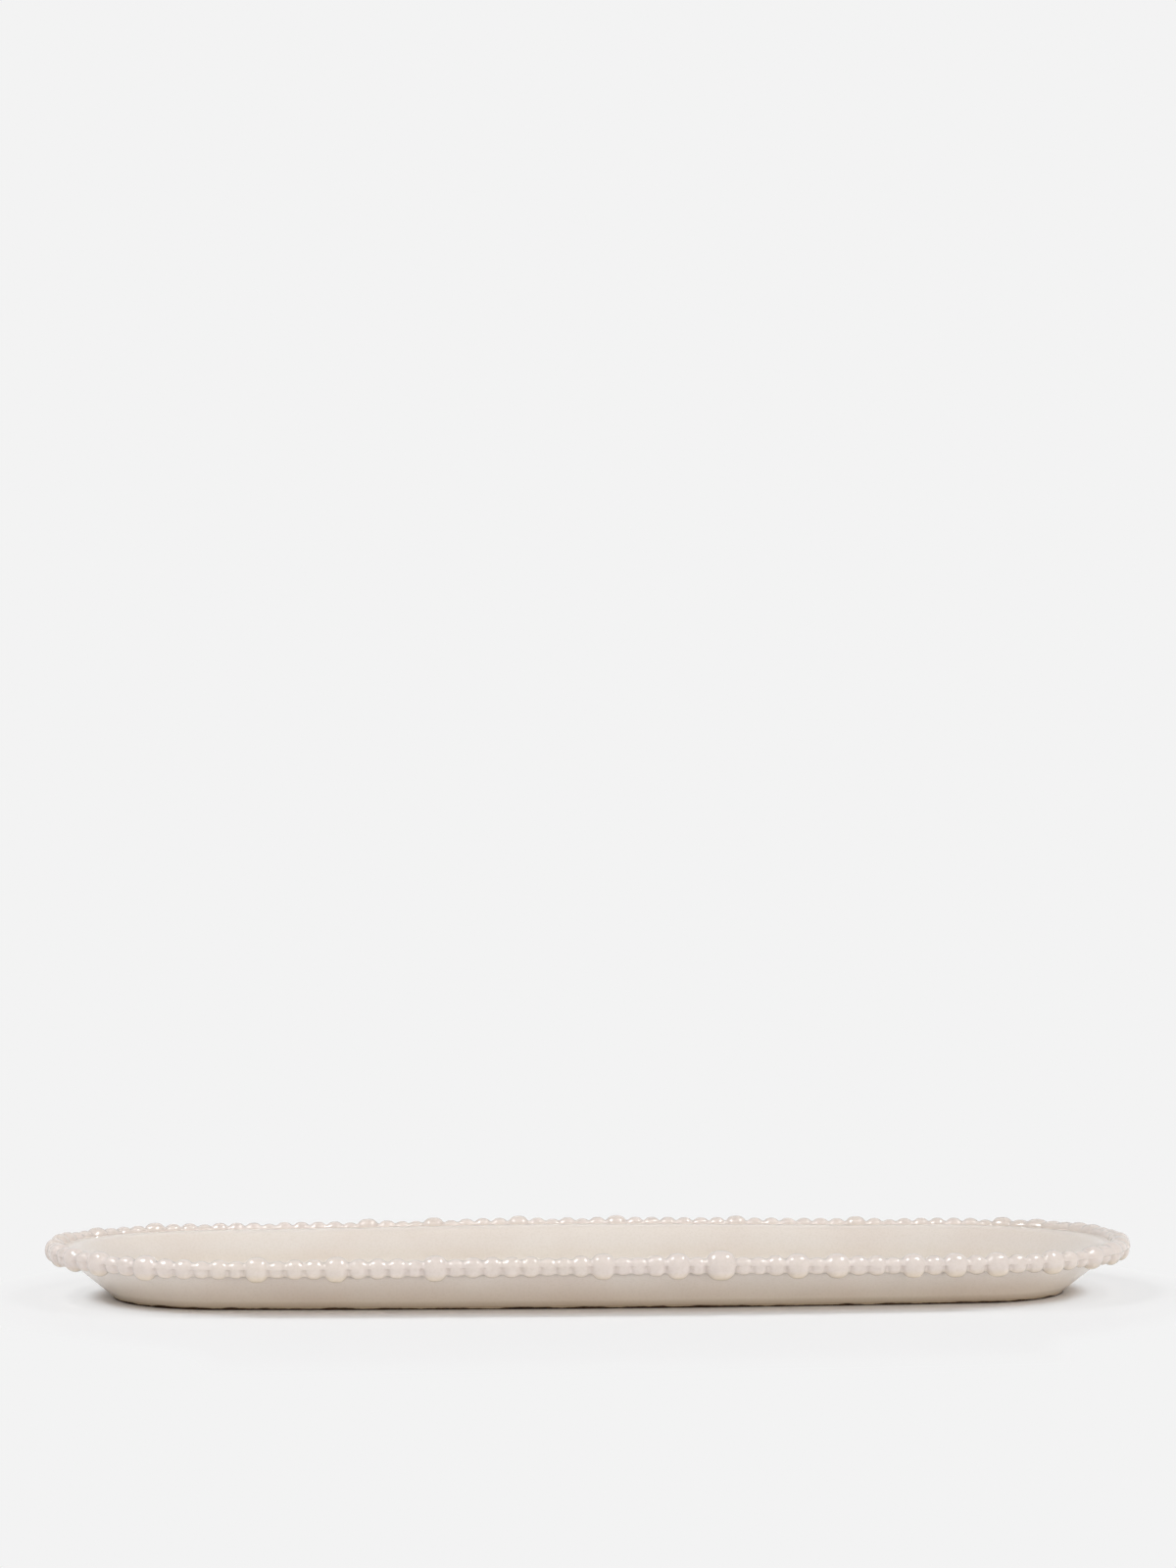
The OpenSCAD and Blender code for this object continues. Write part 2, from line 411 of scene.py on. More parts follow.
def make_dish(sizes, material):
    """The dish is one section swept round the rim line. Inside its last ring, floor and underside
    close along straight lines that run from the ring to the plate's long axis."""
    rim = RimLine(sizes)
    wall = swept(rim, dish_section(sizes), rim.spread(DISH_COUNT))
    t = np.linspace(0, 1, FLOOR_ROWS + 1)[1:, None, None]

    def closed(ring):
        """Rows of points from a ring in to the long axis."""
        return (1 - t) * ring + t * rim.nearest_on_axis(ring)

    top = closed(wall[:, 0])[::-1].transpose(1, 0, 2)
    bottom = closed(wall[:, -1]).transpose(1, 0, 2)
    points = np.concatenate([top, wall, bottom], 1)
    rows, columns = points.shape[:2]
    points = points.reshape(-1, 3)
    warp(points, sizes)
    piece = new_piece("dish_body", points, grid_faces(rows, columns, True, False), material)
    weld(piece.data)
    return piece


def make_foot_ring(sizes, material):
    """The foot ring is a closed section swept round the rim line: an upright bar that narrows
    downward, with worn corners."""
    rim = RimLine(sizes)
    outer = sizes.wall_foot_inset
    inner = outer + 2 * sizes.foot_bevel + sizes.foot_face_width
    top = sizes.foot_height + RING_OVERLAP
    section = softened([
        (outer + RING_TOP_INSET, top, 0),
        (outer + sizes.foot_bevel + RING_FOOT_INSET, 0, ROUNDINGS["ring outside"]),
        (inner - sizes.foot_bevel, 0, ROUNDINGS["ring inside"]),
        (inner, top, 0),
    ], FOOT_RING_STEP)
    points = swept(rim, section, rim.spread(FOOT_RING_COUNT)).reshape(-1, 3)
    faces = grid_faces(FOOT_RING_COUNT, len(section), True, True)
    piece = new_piece("foot_ring_body", points, faces, material)
    weld(piece.data)
    return piece


# ---------------------------------------------------------------- pearls

# What a kind of pearl replaces, how much taller than wide it stands, how far it sags under the
# seam, and its reach outward as a share of its radius
PearlKind = namedtuple("PearlKind", "node tall sag outward")
PEARL_KINDS = {
    "S": PearlKind("small_pearls", 0.4 * MM, 0.35 * MM, 1.12),
    "M": PearlKind("medium_pearls", 0.35 * MM, 0.25 * MM, 0.99),
    "L": PearlKind("large_pearls", 0.15 * MM, 0.45 * MM, 0.94),
    "X": PearlKind("extra_large_pearls", 0, 0, 0.94),
}
# Seed of the random draws, and their number for each pearl, of which the first six are used
PEARL_SEED = 7
PEARL_DRAWS = 8
# Rings along a pearl, points in each ring, and how far a pearl runs into its neighbours, so that no
# two of their points coincide
PEARL_RINGS = 21
RING_POINTS = 56
PEARL_OVERLAP = 0.02 * MM
# A pearl's surface closes on a point this far inside its end, or at this share of its half length
# if that is less
CAP_DEPTH = 0.3 * MM
CAP_SHARE = 0.2
# Part of the spacing of a pearl's rings that is even, and how far the points in a ring crowd
# outward and inward
EVEN_SHARE = 0.35
CROWDING = 0.2
# Half sizes of a pearl along the rim line and upward, as shares of its radius, and the power and
# the root of its outline along the line, where 2 and 0.5 give an ellipse
LENGTH_SHARE = 1.03
RISE_SHARE = 0.97
SHOULDER_POWER = 2.6
SHOULDER_ROOT = 0.43
# How uneven the pearls are: in length, reach, rise and height of their lumps as shares, and in lean
# as an angle
UNEVEN_LENGTH = 0.015
UNEVEN_REACH = 0.02
UNEVEN_RISE = 0.02
UNEVEN_LUMPS = 0.012
UNEVEN_LEAN = 0.15
LUMPS = 3
# Power of the glaze's section between two pearls, and the sines between which it steps back under
# the seam, as a start and a length
WEB_POWER = 2.5
SEAM_START = -0.1
SEAM_LENGTH = 0.12
# The pearls run into each other past these places, counted along the plate from its middle, and
# fully so after these lengths: at both ends, and most of all at the right tip
ENDS_PLACE = 150 * MM
ENDS_LENGTH = 40 * MM
RIGHT_TIP_PLACE = 165 * MM
RIGHT_TIP_LENGTH = 20 * MM
# There the glaze between them and its fillets grow by these shares, and at the ends pearls shrink
ENDS_NECK_GROWTH = 0.06
RIGHT_TIP_NECK_GROWTH = 0.4
ENDS_FILLET_GROWTH = 0.2
RIGHT_TIP_FILLET_GROWTH = 0.8
ENDS_SHRINKAGE = 0.06


def neck_radius(angle, full, sizes):
    """Radius of the glaze between two pearls, at an angle round the rim line from outward over up.
    Above the seam glaze has run in, and its section is a rounded bar, broad outward and lower
    upward, and fuller by a share at the ends of the plate. Under the seam it steps back to half an
    ellipse, the rim's own edge under the glaze."""
    outward, up = np.cos(angle), np.sin(angle)
    web = superellipse(outward, up, sizes.neck_out, sizes.neck_up, WEB_POWER)
    core = superellipse(outward, up, sizes.core_out, sizes.core_down, 2)
    return core + (web * full - core) * smooth(ramp(up, SEAM_START, SEAM_LENGTH))


def tube_faces(rows, columns, tubes):
    """Quads and triangles of like tubes. Each is a grid of points whose rows run round it, then the
    point that closes its first row and the one that closes its last."""
    count = rows * columns
    here = np.arange(columns)
    after = (here + 1) % columns
    last_row = (rows - 1) * columns
    first = np.stack([np.full(columns, count), here, after], -1)
    last = np.stack([np.full(columns, count + 1), last_row + after, last_row + here], -1)
    offset = (np.arange(tubes) * (count + 2))[:, None, None]
    quads = (grid_faces(rows, columns, False, True)[None] + offset).reshape(-1, 4)
    triangles = (np.concatenate([first, last])[None] + offset).reshape(-1, 3)
    return quads, triangles


def make_pearls(kind, sizes, material):
    """Each pearl is a closed surface round the rim line. Its radius, at a distance along the line
    and at an angle round it, is that of an ellipsoid with fuller shoulders, joined by a fillet to
    the glaze between the pearls. Pearls stand a little taller than wide and sag under the seam, and
    each differs a little in its half sizes, lean and lumps. Rings lie closer together near a
    pearl's ends."""
    rim = RimLine(sizes)
    shape = PEARL_KINDS[kind]
    mine = np.array([i for i, other in enumerate(PEARL_ROW) if other == kind])
    chance = np.random.default_rng(PEARL_SEED)
    draws = chance.uniform(-1, 1, (len(PEARL_ROW), PEARL_DRAWS))[mine]
    length, reach, rise, lean, lump, phase = draws[:, :6].T[..., None, None]

    k = np.linspace(-1, 1, PEARL_RINGS)
    along = EVEN_SHARE * k + (1 - EVEN_SHARE) * np.sin(k * math.pi / 2)
    angle = np.arange(RING_POINTS) / RING_POINTS * 2 * math.pi
    angle = angle - CROWDING * np.sin(2 * angle)
    start, stop = rim.pearl_start[mine], rim.pearl_end[mine]
    middle, half = (start + stop) / 2, (stop - start) / 2
    distance = middle[:, None] + (half[:, None] + PEARL_OVERLAP) * along
    x, y, out_x, out_y = rim.at(distance)

    # Towards the ends of the plate the glaze between the pearls is fuller
    ends = smooth(ramp(np.abs(x), ENDS_PLACE, ENDS_LENGTH))
    right_tip = ramp(x, RIGHT_TIP_PLACE, RIGHT_TIP_LENGTH)
    full = 1 + ENDS_NECK_GROWTH * ends + RIGHT_TIP_NECK_GROWTH * right_tip
    fillet = sizes.glaze_fillet * (
        1 + ENDS_FILLET_GROWTH * ends + RIGHT_TIP_FILLET_GROWTH * right_tip)
    shrunk = 1 - ENDS_SHRINKAGE * ends[..., None]

    radius = rim.pearl_radius[mine][:, None, None]
    half_along = radius * (LENGTH_SHARE + UNEVEN_LENGTH * length)
    half_out = radius * shrunk * (shape.outward + UNEVEN_REACH * reach)
    half_up = (radius + shape.tall) * shrunk * (RISE_SHARE + UNEVEN_RISE * rise)
    half_up = np.where(np.sin(angle) < 0, half_up + shape.sag, half_up)
    way = np.abs(distance[:, :, None] - middle[:, None, None]) / half_along
    leaning = angle + UNEVEN_LEAN * lean
    lumps = 1 + UNEVEN_LUMPS * lump * np.sin(LUMPS * (leaning + phase)) * (1 - way ** 2).clip(0)
    ball = (1 - way ** SHOULDER_POWER).clip(0) ** SHOULDER_ROOT * lumps / np.sqrt(
        (np.cos(leaning) / half_out) ** 2 + (np.sin(leaning) / half_up) ** 2)
    surface = soft_max(ball, neck_radius(angle, full[..., None], sizes), fillet[..., None])

    height = sizes.rim_height - sizes.pearl_drop
    across, up = np.cos(angle) * surface, np.sin(angle) * surface
    points = np.stack([x[..., None] + across * out_x[..., None],
                       y[..., None] + across * out_y[..., None], height + up], -1)
    depth = np.minimum(CAP_DEPTH, CAP_SHARE * half)
    tips = []
    for place in (start + depth, stop - depth):
        tip_x, tip_y, _, _ = rim.at(place)
        tips.append(np.stack([tip_x, tip_y, np.full(len(mine), height)], -1)[:, None])
    points = np.concatenate([points.reshape(len(mine), -1, 3), *tips], 1).reshape(-1, 3)
    warp(points, sizes)
    quads, triangles = tube_faces(PEARL_RINGS, RING_POINTS, len(mine))
    flat = np.repeat([False, True], [len(quads), len(triangles)])
    faces = quads.tolist() + triangles.tolist()
    return new_piece(shape.node + "_glazed", points, faces, material, flat)


# ---------------------------------------------------------------- materials

# What differs between the coats of glaze on the dish and on the pearls, and the heights of the
# shades that multiply their colours: on the dish these make the glaze darker towards the foot as
# painted shade, and warmer where it runs thin
Coat = namedtuple("Coat", "roughness ripple_width ripple_depth")
DISH_COAT = Coat(0.16, 14 * MM, 0.05 * MM)
PEARL_COAT = Coat(0.08, 6 * MM, 0.1 * MM)
DISH_SHADE_HEIGHTS = (0.8 * MM, 3.6 * MM, 12 * MM)
PEARL_SHADE_HEIGHTS = (12.6 * MM, 15.2 * MM)
# Widths of the patterns in glaze and clay, and the colour of the specks in the glaze
SPECK = "#F7F6F3"
DRIFT_WIDTH = 40 * MM
SPECK_WIDTH = 0.9 * MM
GRIT_WIDTH = 0.6 * MM
# Share of the foot ring's height that is bare clay, how far and over what width the line above it
# wanders, and half the width over which the glaze runs out
CLAY_SHARE = 0.45
LINE_WANDER = 0.35 * MM
WANDER_WIDTH = 9 * MM
LINE_SOFTNESS = 0.15 * MM
# The floor takes on this share of the flat backdrop colour between the first two distances from the
# foot, and all of it between the other two
FLAT_SHARE = 0.72
FLAT_NEAR = (5 * MM, 28 * MM)
FLAT_FAR = (50 * MM, 140 * MM)


def linear(colour):
    """The linear values of an sRGB hex colour."""
    parts = [int(colour[i:i + 2], 16) / 255 for i in (1, 3, 5)]
    return [c / 12.92 if c <= 0.04045 else ((c + 0.055) / 1.055) ** 2.4 for c in parts] + [1]


def add_node(tree, kind, settings=(), inputs=(), links=(), stops=()):
    """A node with its settings, its input values, its links from other nodes' sockets, and the
    stops of its colour ramp as pairs of place and hex colour."""
    node = tree.nodes.new(kind)
    for key, value in dict(settings).items():
        setattr(node, key, value)
    for key, value in dict(inputs).items():
        node.inputs[key].default_value = value
    for key, socket in dict(links).items():
        tree.links.new(socket, node.inputs[key])
    if stops:
        elements = node.color_ramp.elements
        while len(elements) < len(stops):
            elements.new(1)
        for element, (place, colour) in zip(elements, stops):
            element.position, element.color = place, linear(colour)
    return node


def new_material(name):
    """An empty node material, and its tree."""
    material = bpy.data.materials.new(name)
    material.use_nodes = True
    material.node_tree.nodes.clear()
    return material, material.node_tree


def glaze_material(name, body, thin, coat, shades):
    """Glossy cream stoneware glaze, poured and fired: a smooth glassy coat over a soft cream body.
    The coat ripples a little, and its colour drifts over some centimetres where it lies thicker,
    with fine specks. Shades at rising heights multiply its colour. On the dish they make it darker
    and warmer towards the foot: warmer where the glaze runs thin and the clay shows through, and
    darker as painted shade where the wall nears the floor. On the pearls they make it warmer and a
    little darker low down, under the seam."""
    material, tree = new_material(name)
    place = add_node(tree, "ShaderNodeTexCoord").outputs["Object"]
    drift = add_node(tree, "ShaderNodeTexNoise", inputs={"Scale": 1 / DRIFT_WIDTH, "Detail": 2},
                     links={"Vector": place})
    fine = add_node(tree, "ShaderNodeTexNoise", inputs={"Scale": 1 / SPECK_WIDTH, "Detail": 2},
                    links={"Vector": place})
    tone = add_node(tree, "ShaderNodeValToRGB", links={"Fac": drift.outputs["Fac"]},
                    stops=[(0.35, thin), (0.6, body)])
    speck = add_node(tree, "ShaderNodeValToRGB", links={"Fac": fine.outputs["Fac"]},
                     stops=[(0.3, SPECK), (0.55, WHITE)])
    specked = add_node(tree, "ShaderNodeMix", {"data_type": "RGBA", "blend_type": "MULTIPLY"},
                       {"Factor": 0.6},
                       {"A": tone.outputs["Color"], "B": speck.outputs["Color"]})
    # Painted shade: on the dish these shades darken the glaze towards the foot, besides warming it
    # where it runs thin
    lowest, highest = shades[0][0], shades[-1][0]
    height = add_node(tree, "ShaderNodeSeparateXYZ", links={"Vector": place}).outputs["Z"]
    share = add_node(tree, "ShaderNodeMapRange",
                     inputs={"From Min": lowest, "From Max": highest}, links={"Value": height})
    shade = add_node(tree, "ShaderNodeValToRGB", links={"Fac": share.outputs["Result"]},
                     stops=[((at - lowest) / (highest - lowest), hue) for at, hue in shades])
    colour = add_node(tree, "ShaderNodeMix", {"data_type": "RGBA", "blend_type": "MULTIPLY"},
                      {"Factor": 1},
                      {"A": specked.outputs["Result"], "B": shade.outputs["Color"]})
    ripple = add_node(tree, "ShaderNodeTexNoise",
                      inputs={"Scale": 1 / coat.ripple_width, "Detail": 1},
                      links={"Vector": place})
    bump = add_node(tree, "ShaderNodeBump", inputs={"Distance": coat.ripple_depth},
                    links={"Height": ripple.outputs["Fac"]})
    shader = add_node(tree, "ShaderNodeBsdfPrincipled",
                      inputs={"Roughness": coat.roughness, "IOR": 1.5},
                      links={"Base Color": colour.outputs["Result"],
                             "Normal": bump.outputs["Normal"]})
    add_node(tree, "ShaderNodeOutputMaterial", links={"Surface": shader.outputs["BSDF"]})
    return material


def clay_material(name, clay, dark, glaze, edge_height):
    """Bare fired stoneware clay, sanded where the plate stands: matt, brown and gritty, and made
    much darker than the clay itself as painted shade for the line where the foot meets the floor.
    Glaze ends above it in a soft line that wanders up and down about the edge height."""
    material, tree = new_material(name)
    place = add_node(tree, "ShaderNodeTexCoord").outputs["Object"]
    height = add_node(tree, "ShaderNodeSeparateXYZ", links={"Vector": place}).outputs["Z"]
    grit = add_node(tree, "ShaderNodeTexNoise", inputs={"Scale": 1 / GRIT_WIDTH, "Detail": 3},
                    links={"Vector": place})
    # Grit between the two clay colours, both made darker as painted shade along the foot
    tone = add_node(tree, "ShaderNodeValToRGB", links={"Fac": grit.outputs["Fac"]},
                    stops=[(0.35, dark), (0.65, clay)])
    wander = add_node(tree, "ShaderNodeTexNoise", inputs={"Scale": 1 / WANDER_WIDTH, "Detail": 3},
                      links={"Vector": place})
    line = add_node(tree, "ShaderNodeMapRange",
                    inputs={"From Min": 0.3, "From Max": 0.7, "To Min": edge_height - LINE_WANDER,
                            "To Max": edge_height + LINE_WANDER},
                    links={"Value": wander.outputs["Fac"]})
    above = add_node(tree, "ShaderNodeMath", {"operation": "SUBTRACT"},
                     links={0: height, 1: line.outputs["Result"]})
    glazed = add_node(tree, "ShaderNodeMapRange",
                      inputs={"From Min": -LINE_SOFTNESS, "From Max": LINE_SOFTNESS},
                      links={"Value": above.outputs["Value"]})
    # Glaze above the line takes the foot glaze colour: partly thin glaze, partly painted shade in
    # the recess by the floor
    colour = add_node(tree, "ShaderNodeMix", {"data_type": "RGBA"}, {"B": linear(glaze)},
                      {"Factor": glazed.outputs["Result"], "A": tone.outputs["Color"]})
    rough = add_node(tree, "ShaderNodeMapRange", inputs={"To Min": 0.85, "To Max": 0.25},
                     links={"Value": glazed.outputs["Result"]})
    bump = add_node(tree, "ShaderNodeBump", inputs={"Strength": 0.4, "Distance": 0.1 * MM},
                    links={"Height": grit.outputs["Fac"]})
    shader = add_node(tree, "ShaderNodeBsdfPrincipled",
                      inputs={"IOR": 1.5, "Specular IOR Level": 0.2},
                      links={"Base Color": colour.outputs["Result"],
                             "Roughness": rough.outputs["Result"],
                             "Normal": bump.outputs["Normal"]})
    add_node(tree, "ShaderNodeOutputMaterial", links={"Surface": shader.outputs["BSDF"]})
    return material


def seen_directly(tree):
    """A socket that is 1 where the camera looks at a surface straight, in a reflection or through
    glass."""
    path = add_node(tree, "ShaderNodeLightPath").outputs
    mirrored = add_node(tree, "ShaderNodeMath", {"operation": "MAXIMUM"},
                        links={0: path["Is Glossy Ray"], 1: path["Is Transmission Ray"]})
    seen = add_node(tree, "ShaderNodeMath", {"operation": "MAXIMUM"},
                    links={0: path["Is Camera Ray"], 1: mirrored.outputs["Value"]})
    return seen.outputs["Value"]


def floor_material(colour, backdrop):
    """Matt white paper. Close to the foot the camera sees its light and shadow, further out these
    are mixed with a share of the flat backdrop colour, and far away only that is left."""
    material, tree = new_material("White paper")
    away = add_node(tree, "ShaderNodeAttribute", {"attribute_name": "away"}).outputs["Fac"]
    near = add_node(tree, "ShaderNodeMapRange", {"interpolation_type": "SMOOTHSTEP"},
                    {"From Min": FLAT_NEAR[0], "From Max": FLAT_NEAR[1], "To Max": FLAT_SHARE},
                    {"Value": away})
    far = add_node(tree, "ShaderNodeMapRange", {"interpolation_type": "SMOOTHSTEP"},
                   {"From Min": FLAT_FAR[0], "From Max": FLAT_FAR[1]}, {"Value": away})
    flat = add_node(tree, "ShaderNodeMath", {"operation": "MAXIMUM"},
                    links={0: near.outputs["Result"], 1: far.outputs["Result"]})
    shown = add_node(tree, "ShaderNodeMath", {"operation": "MULTIPLY"},
                     links={0: flat.outputs["Value"], 1: seen_directly(tree)})
    paper = add_node(tree, "ShaderNodeBsdfPrincipled",
                     inputs={"Base Color": linear(colour), "Roughness": 0.5,
                             "Specular IOR Level": 0.15})
    plain = add_node(tree, "ShaderNodeEmission",
                     inputs={"Color": linear(backdrop), "Strength": 1})
    both = add_node(tree, "ShaderNodeMixShader",
                    links={0: shown.outputs["Value"], 1: paper.outputs["BSDF"],
                           2: plain.outputs["Emission"]})
    add_node(tree, "ShaderNodeOutputMaterial", links={"Surface": both.outputs["Shader"]})
    return material


# ---------------------------------------------------------------- stage

# Pixels of the full frame, and the place in it of the middle of the foot
PHOTO_WIDTH = 1200
PHOTO_HEIGHT = 1600
FOOT_PIXEL = (605.9, 1317.2)
# Width of the camera's sensor in millimetres, and the distances in metres between which it sees
SENSOR_WIDTH = 36
CLIP_RANGE = (0.01, 20)

# Strengths of the light from above and from low in front, the power with which the latter gathers
# low down, and the light's colour in linear values
OVERHEAD_LIGHT = 0.2
HORIZON_LIGHT = 6
HORIZON_POWER = 6
LIGHT_COLOUR = [1, 0.97, 0.925, 1]
# The level direction away from the brightest part, the cosines to it between which the low light
# falls, and the share that is left
BEHIND_DIRECTION = (-0.5, 0.866, 0)
BEHIND_RANGE = (-0.9, 0.5)
BEHIND_SHARE = 0.05

# Lamps, all aimed at the middle of the plate, with sizes in metres and power in watts. The windows
# light no matt surface and only give the pearls their small highlights.
Lamp = namedtuple("Lamp", "name place width height power lights_surfaces")
LAMPS = (
    Lamp("Rear softbox", (0, 1.9, 2.1), 1.2, 0.6, 1.1, True),
    Lamp("Left softbox", (-0.85, -0.29, 1.43), 0.4, 0.4, 9.6, True),
    Lamp("Right softbox", (0.82, -0.31, 1.46), 0.4, 0.4, 7.2, True),
    Lamp("Left strip", (-1.0, 0.25, 1.25), 0.25, 0.5, 2.5, True),
    Lamp("Left window", (-0.88, -0.25, 1.4), 0.33, 0.6, 9.5, False),
    Lamp("Right window", (0.8, -0.31, 1.44), 0.38, 0.38, 8.5, False),
)

# Points in each ring of the floor, and how far outside the foot the rings lie
FLOOR_COUNT = 360
FLOOR_RINGS = np.array([-1, 0, 0.5, 1, 1.5, 2, 3, 4, 6, 8, 12, 16, 24, 32, 48, 64, 96, 140, 200,
                        300, 500, 900, 2500, 6000]) * MM
# Round the ends of the plate, past a place and over a length, distances on the floor count for more
FLOOR_ENDS_PLACE = 120 * MM
FLOOR_ENDS_LENGTH = 50 * MM
FLOOR_ENDS_GROWTH = 1.4


def make_world(backdrop):
    """A light tent, brightest low in front: its strength is the overhead one, plus the horizon one
    times a power of what the height leaves and a share that falls from front to back. It shows as
    the flat backdrop where the camera looks at it."""
    world = bpy.data.worlds.new("Pale room")
    bpy.context.scene.world = world
    world.use_nodes = True
    tree = world.node_tree
    tree.nodes.clear()
    seen = seen_directly(tree)
    direction = add_node(tree, "ShaderNodeTexCoord").outputs["Generated"]
    height = add_node(tree, "ShaderNodeSeparateXYZ", links={"Vector": direction}).outputs["Z"]
    behind = add_node(tree, "ShaderNodeVectorMath", {"operation": "DOT_PRODUCT"},
                      {1: BEHIND_DIRECTION}, {0: direction})
    low = add_node(tree, "ShaderNodeMapRange", inputs={"To Min": 1, "To Max": 0},
                   links={"Value": height})
    steep = add_node(tree, "ShaderNodeMath", {"operation": "POWER"}, {1: HORIZON_POWER},
                     {0: low.outputs["Result"]})
    front = add_node(tree, "ShaderNodeMapRange",
                     inputs={"From Min": BEHIND_RANGE[0], "From Max": BEHIND_RANGE[1],
                             "To Min": HORIZON_LIGHT, "To Max": BEHIND_SHARE * HORIZON_LIGHT},
                     links={"Value": behind.outputs["Value"]})
    strength = add_node(tree, "ShaderNodeMath", {"operation": "MULTIPLY_ADD"},
                        {2: OVERHEAD_LIGHT},
                        {0: steep.outputs["Value"], 1: front.outputs["Result"]})
    light = add_node(tree, "ShaderNodeBackground", inputs={"Color": LIGHT_COLOUR},
                     links={"Strength": strength.outputs["Value"]})
    shown = add_node(tree, "ShaderNodeBackground",
                     inputs={"Color": linear(backdrop), "Strength": 1})
    both = add_node(tree, "ShaderNodeMixShader",
                    links={0: seen, 1: light.outputs["Background"],
                           2: shown.outputs["Background"]})
    add_node(tree, "ShaderNodeOutputWorld", links={"Surface": both.outputs["Shader"]})


def make_floor(sizes, material):
    """A flat floor of rings round the foot. Each ring is the foot's outline moved outward by a
    distance, which its points carry as the attribute away, stretched round the ends of the plate,
    where the shadow is shorter. Inside, the first ring closes on the plate's long axis."""
    rim = RimLine(sizes)
    foot = sizes.wall_foot_inset + sizes.foot_bevel
    section = np.stack([foot - FLOOR_RINGS, np.zeros(len(FLOOR_RINGS))], -1)
    points = swept(rim, section, rim.spread(FLOOR_COUNT))
    ends = ramp(np.abs(points[:, :1, 0]), FLOOR_ENDS_PLACE, FLOOR_ENDS_LENGTH)
    points = np.concatenate([rim.nearest_on_axis(points[:, :1]), points], 1)
    faces = grid_faces(FLOOR_COUNT, points.shape[1], True, False)[:, ::-1]
    floor = new_piece("floor", points.reshape(-1, 3), faces, material)
    away = np.concatenate([[-1], FLOOR_RINGS]) * (1 + FLOOR_ENDS_GROWTH * ends)
    attribute = floor.data.attributes.new("away", "FLOAT", "POINT")
    attribute.data.foreach_set("value", away.ravel().astype(np.float32))
    return floor


def make_lamp(lamp):
    """A soft rectangular lamp, aimed at the middle of the plate. One that doesn't light surfaces is
    seen only as a highlight in glossy ones."""
    data = bpy.data.lights.new(lamp.name, "AREA")
    data.shape, data.size, data.size_y = "RECTANGLE", lamp.width, lamp.height
    data.energy = lamp.power
    light = bpy.data.objects.new(lamp.name, data)
    light.location = lamp.place
    light.visible_camera = False
    light.visible_diffuse = lamp.lights_surfaces
    light.rotation_euler = (Vector() - Vector(lamp.place)).to_track_quat("-Z", "Y").to_euler()
    bpy.context.scene.collection.objects.link(light)


def turned(first, second, angle):
    """Two directions at right angles, both turned by an angle from the first towards the second."""
    c, s = math.cos(angle), math.sin(angle)
    return c * first + s * second, -s * first + c * second


def make_camera(stage):
    """The camera stands at a distance, elevation and azimuth, looks at the middle of the foot, and
    is then turned by a pitch and a yaw so that this lands on its place in the frame. The picture's
    roll is taken out before, and put back at the end."""
    elevation, azimuth = stage.elevation, stage.azimuth
    place = stage.distance * np.array(
        [math.sin(azimuth) * math.cos(elevation), -math.cos(azimuth) * math.cos(elevation),
         math.sin(elevation)])
    ahead = -place / np.linalg.norm(place)
    right = np.cross(ahead, [0, 0, 1])
    right /= np.linalg.norm(right)
    down = -np.cross(right, ahead)
    u, v = turned((FOOT_PIXEL[0] - PHOTO_WIDTH / 2) / stage.focal_pixels,
                  (FOOT_PIXEL[1] - PHOTO_HEIGHT / 2) / stage.focal_pixels, stage.roll)
    pitch = math.atan(v)
    down, ahead = turned(down, ahead, pitch)
    right, ahead = turned(right, ahead, math.atan(u * math.cos(pitch)))
    right, down = turned(right, down, -stage.roll)
    data = bpy.data.cameras.new("Camera")
    data.sensor_width = SENSOR_WIDTH
    data.lens = stage.focal_pixels / PHOTO_HEIGHT * data.sensor_width
    data.clip_start, data.clip_end = CLIP_RANGE
    camera = bpy.data.objects.new("Camera", data)
    matrix = Matrix((right, -down, -ahead)).transposed().to_4x4()
    matrix.translation = place
    camera.matrix_world = matrix
    bpy.context.scene.collection.objects.link(camera)
    bpy.context.scene.camera = camera


# ---------------------------------------------------------------- operators


class PLATE_OT_dish(bpy.types.Operator):
    """Builds the glazed dish"""

    bl_idname = "plate.build_dish"
    bl_label = "Dish"

    def execute(self, context):
        sizes, finish = context.scene.plate_sizes, context.scene.plate_finish
        # Painted shade towards the foot, together with the warmer thin glaze
        shades = list(zip(DISH_SHADE_HEIGHTS, (finish.foot_shade, finish.wall_shade, WHITE)))
        material = glaze_material("Cream stoneware glaze", finish.glaze, finish.glaze_thin,
                                  DISH_COAT, shades)
        piece = make_dish(sizes, material)
        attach(piece, "root")
        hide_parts("dish")
        return {"FINISHED"}


class PLATE_OT_foot_ring(bpy.types.Operator):
    """Builds the bare clay foot ring"""

    bl_idname = "plate.build_foot_ring"
    bl_label = "Foot ring"

    def execute(self, context):
        sizes, finish = context.scene.plate_sizes, context.scene.plate_finish
        # The clay colours and the foot glaze are partly painted shade along the foot
        material = clay_material("Bare stoneware clay", finish.clay, finish.clay_dark_and_shade,
                                 finish.foot_glaze_and_shade, CLAY_SHARE * sizes.foot_height)
        piece = make_foot_ring(sizes, material)
        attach(piece, "root")
        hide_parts("foot_ring")
        return {"FINISHED"}


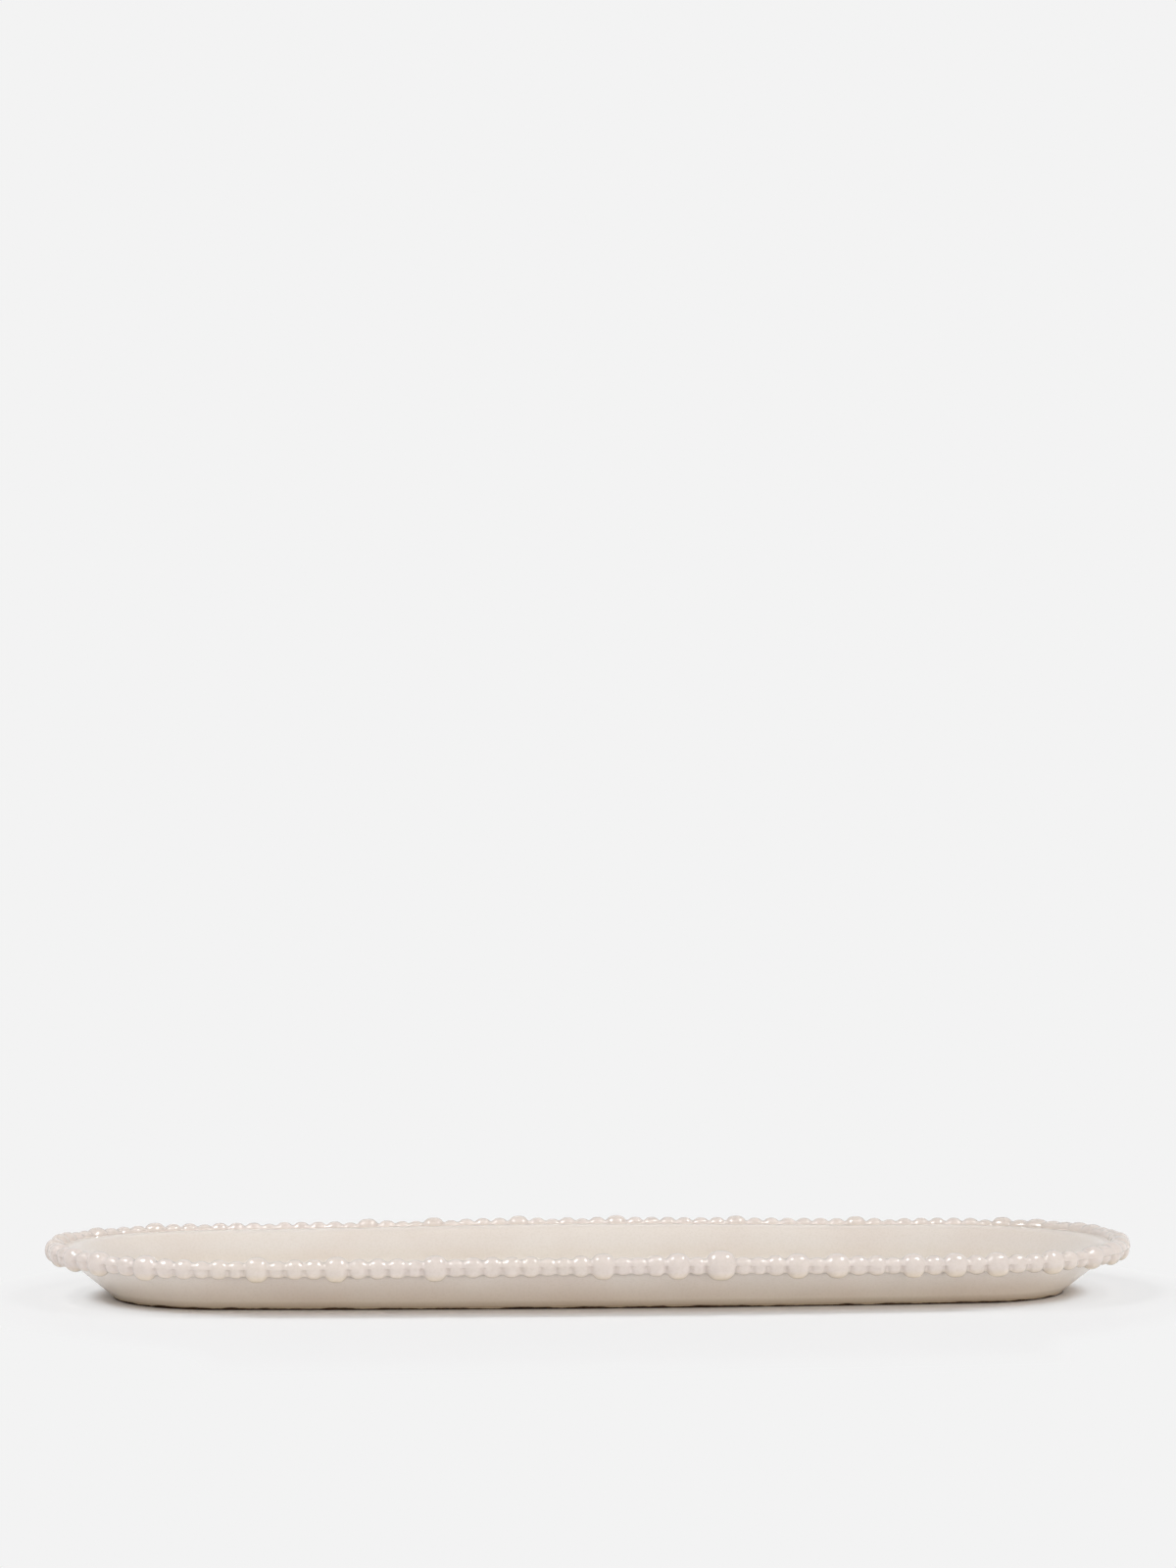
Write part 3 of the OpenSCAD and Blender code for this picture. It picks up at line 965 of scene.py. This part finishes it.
class PLATE_OT_pearls(bpy.types.Operator):
    """Builds the border of pearls, one piece for each kind"""

    bl_idname = "plate.build_pearls"
    bl_label = "Pearls"

    def execute(self, context):
        sizes, finish = context.scene.plate_sizes, context.scene.plate_finish
        shades = list(zip(PEARL_SHADE_HEIGHTS, (finish.pearl_shade, WHITE)))
        material = glaze_material("Thick cream glaze on pearls", finish.pearl_glaze,
                                  finish.pearl_thin, PEARL_COAT, shades)
        for kind, shape in PEARL_KINDS.items():
            piece = make_pearls(kind, sizes, material)
            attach(piece, "root")
            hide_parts(shape.node)
        return {"FINISHED"}


class PLATE_OT_stage(bpy.types.Operator):
    """Sets up the floor, the lamps, the backdrop and the camera"""

    bl_idname = "plate.build_stage"
    bl_label = "Stage"

    def execute(self, context):
        stage = context.scene.plate_stage
        context.scene.view_settings.view_transform = "Standard"
        make_camera(stage)
        make_world(stage.backdrop)
        floor = make_floor(context.scene.plate_sizes, floor_material(stage.floor, stage.backdrop))
        for lamp in LAMPS:
            make_lamp(lamp)
        return {"FINISHED"}


class PLATE_PT_panel(bpy.types.Panel):
    """Lists the plate's parts, sizes and colours"""

    bl_idname = "PLATE_PT_panel"
    bl_label = "Asparagus plate"
    bl_space_type = "VIEW_3D"
    bl_region_type = "UI"
    bl_category = "Asparagus plate"

    def draw(self, context):
        column = self.layout.column()
        for operator in OPERATORS:
            column.operator(operator.bl_idname)
        for name in GROUPS:
            group = getattr(context.scene, name)
            for value in group.__annotations__:
                column.prop(group, value)


GROUPS = {"plate_sizes": PlateSizes, "plate_finish": PlateFinish, "plate_stage": PlateStage}
OPERATORS = (PLATE_OT_dish, PLATE_OT_foot_ring, PLATE_OT_pearls, PLATE_OT_stage)
CLASSES = (*GROUPS.values(), *OPERATORS, PLATE_PT_panel)


def register():
    """Registers the classes, and hangs the groups of sizes, colours and stage values on the
    scene."""
    for cls in CLASSES:
        bpy.utils.register_class(cls)
    for name, group in GROUPS.items():
        setattr(bpy.types.Scene, name, bpy.props.PointerProperty(type=group))


def unregister():
    """Takes the groups off the scene, and unregisters the classes."""
    for name in GROUPS:
        delattr(bpy.types.Scene, name)
    for cls in reversed(CLASSES):
        bpy.utils.unregister_class(cls)


def main():
    """Builds the plate and its stage."""
    register()
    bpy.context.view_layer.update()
    bpy.ops.plate.build_dish()
    bpy.ops.plate.build_foot_ring()
    bpy.ops.plate.build_pearls()
    bpy.ops.plate.build_stage()


if __name__ == "__main__":
    main()
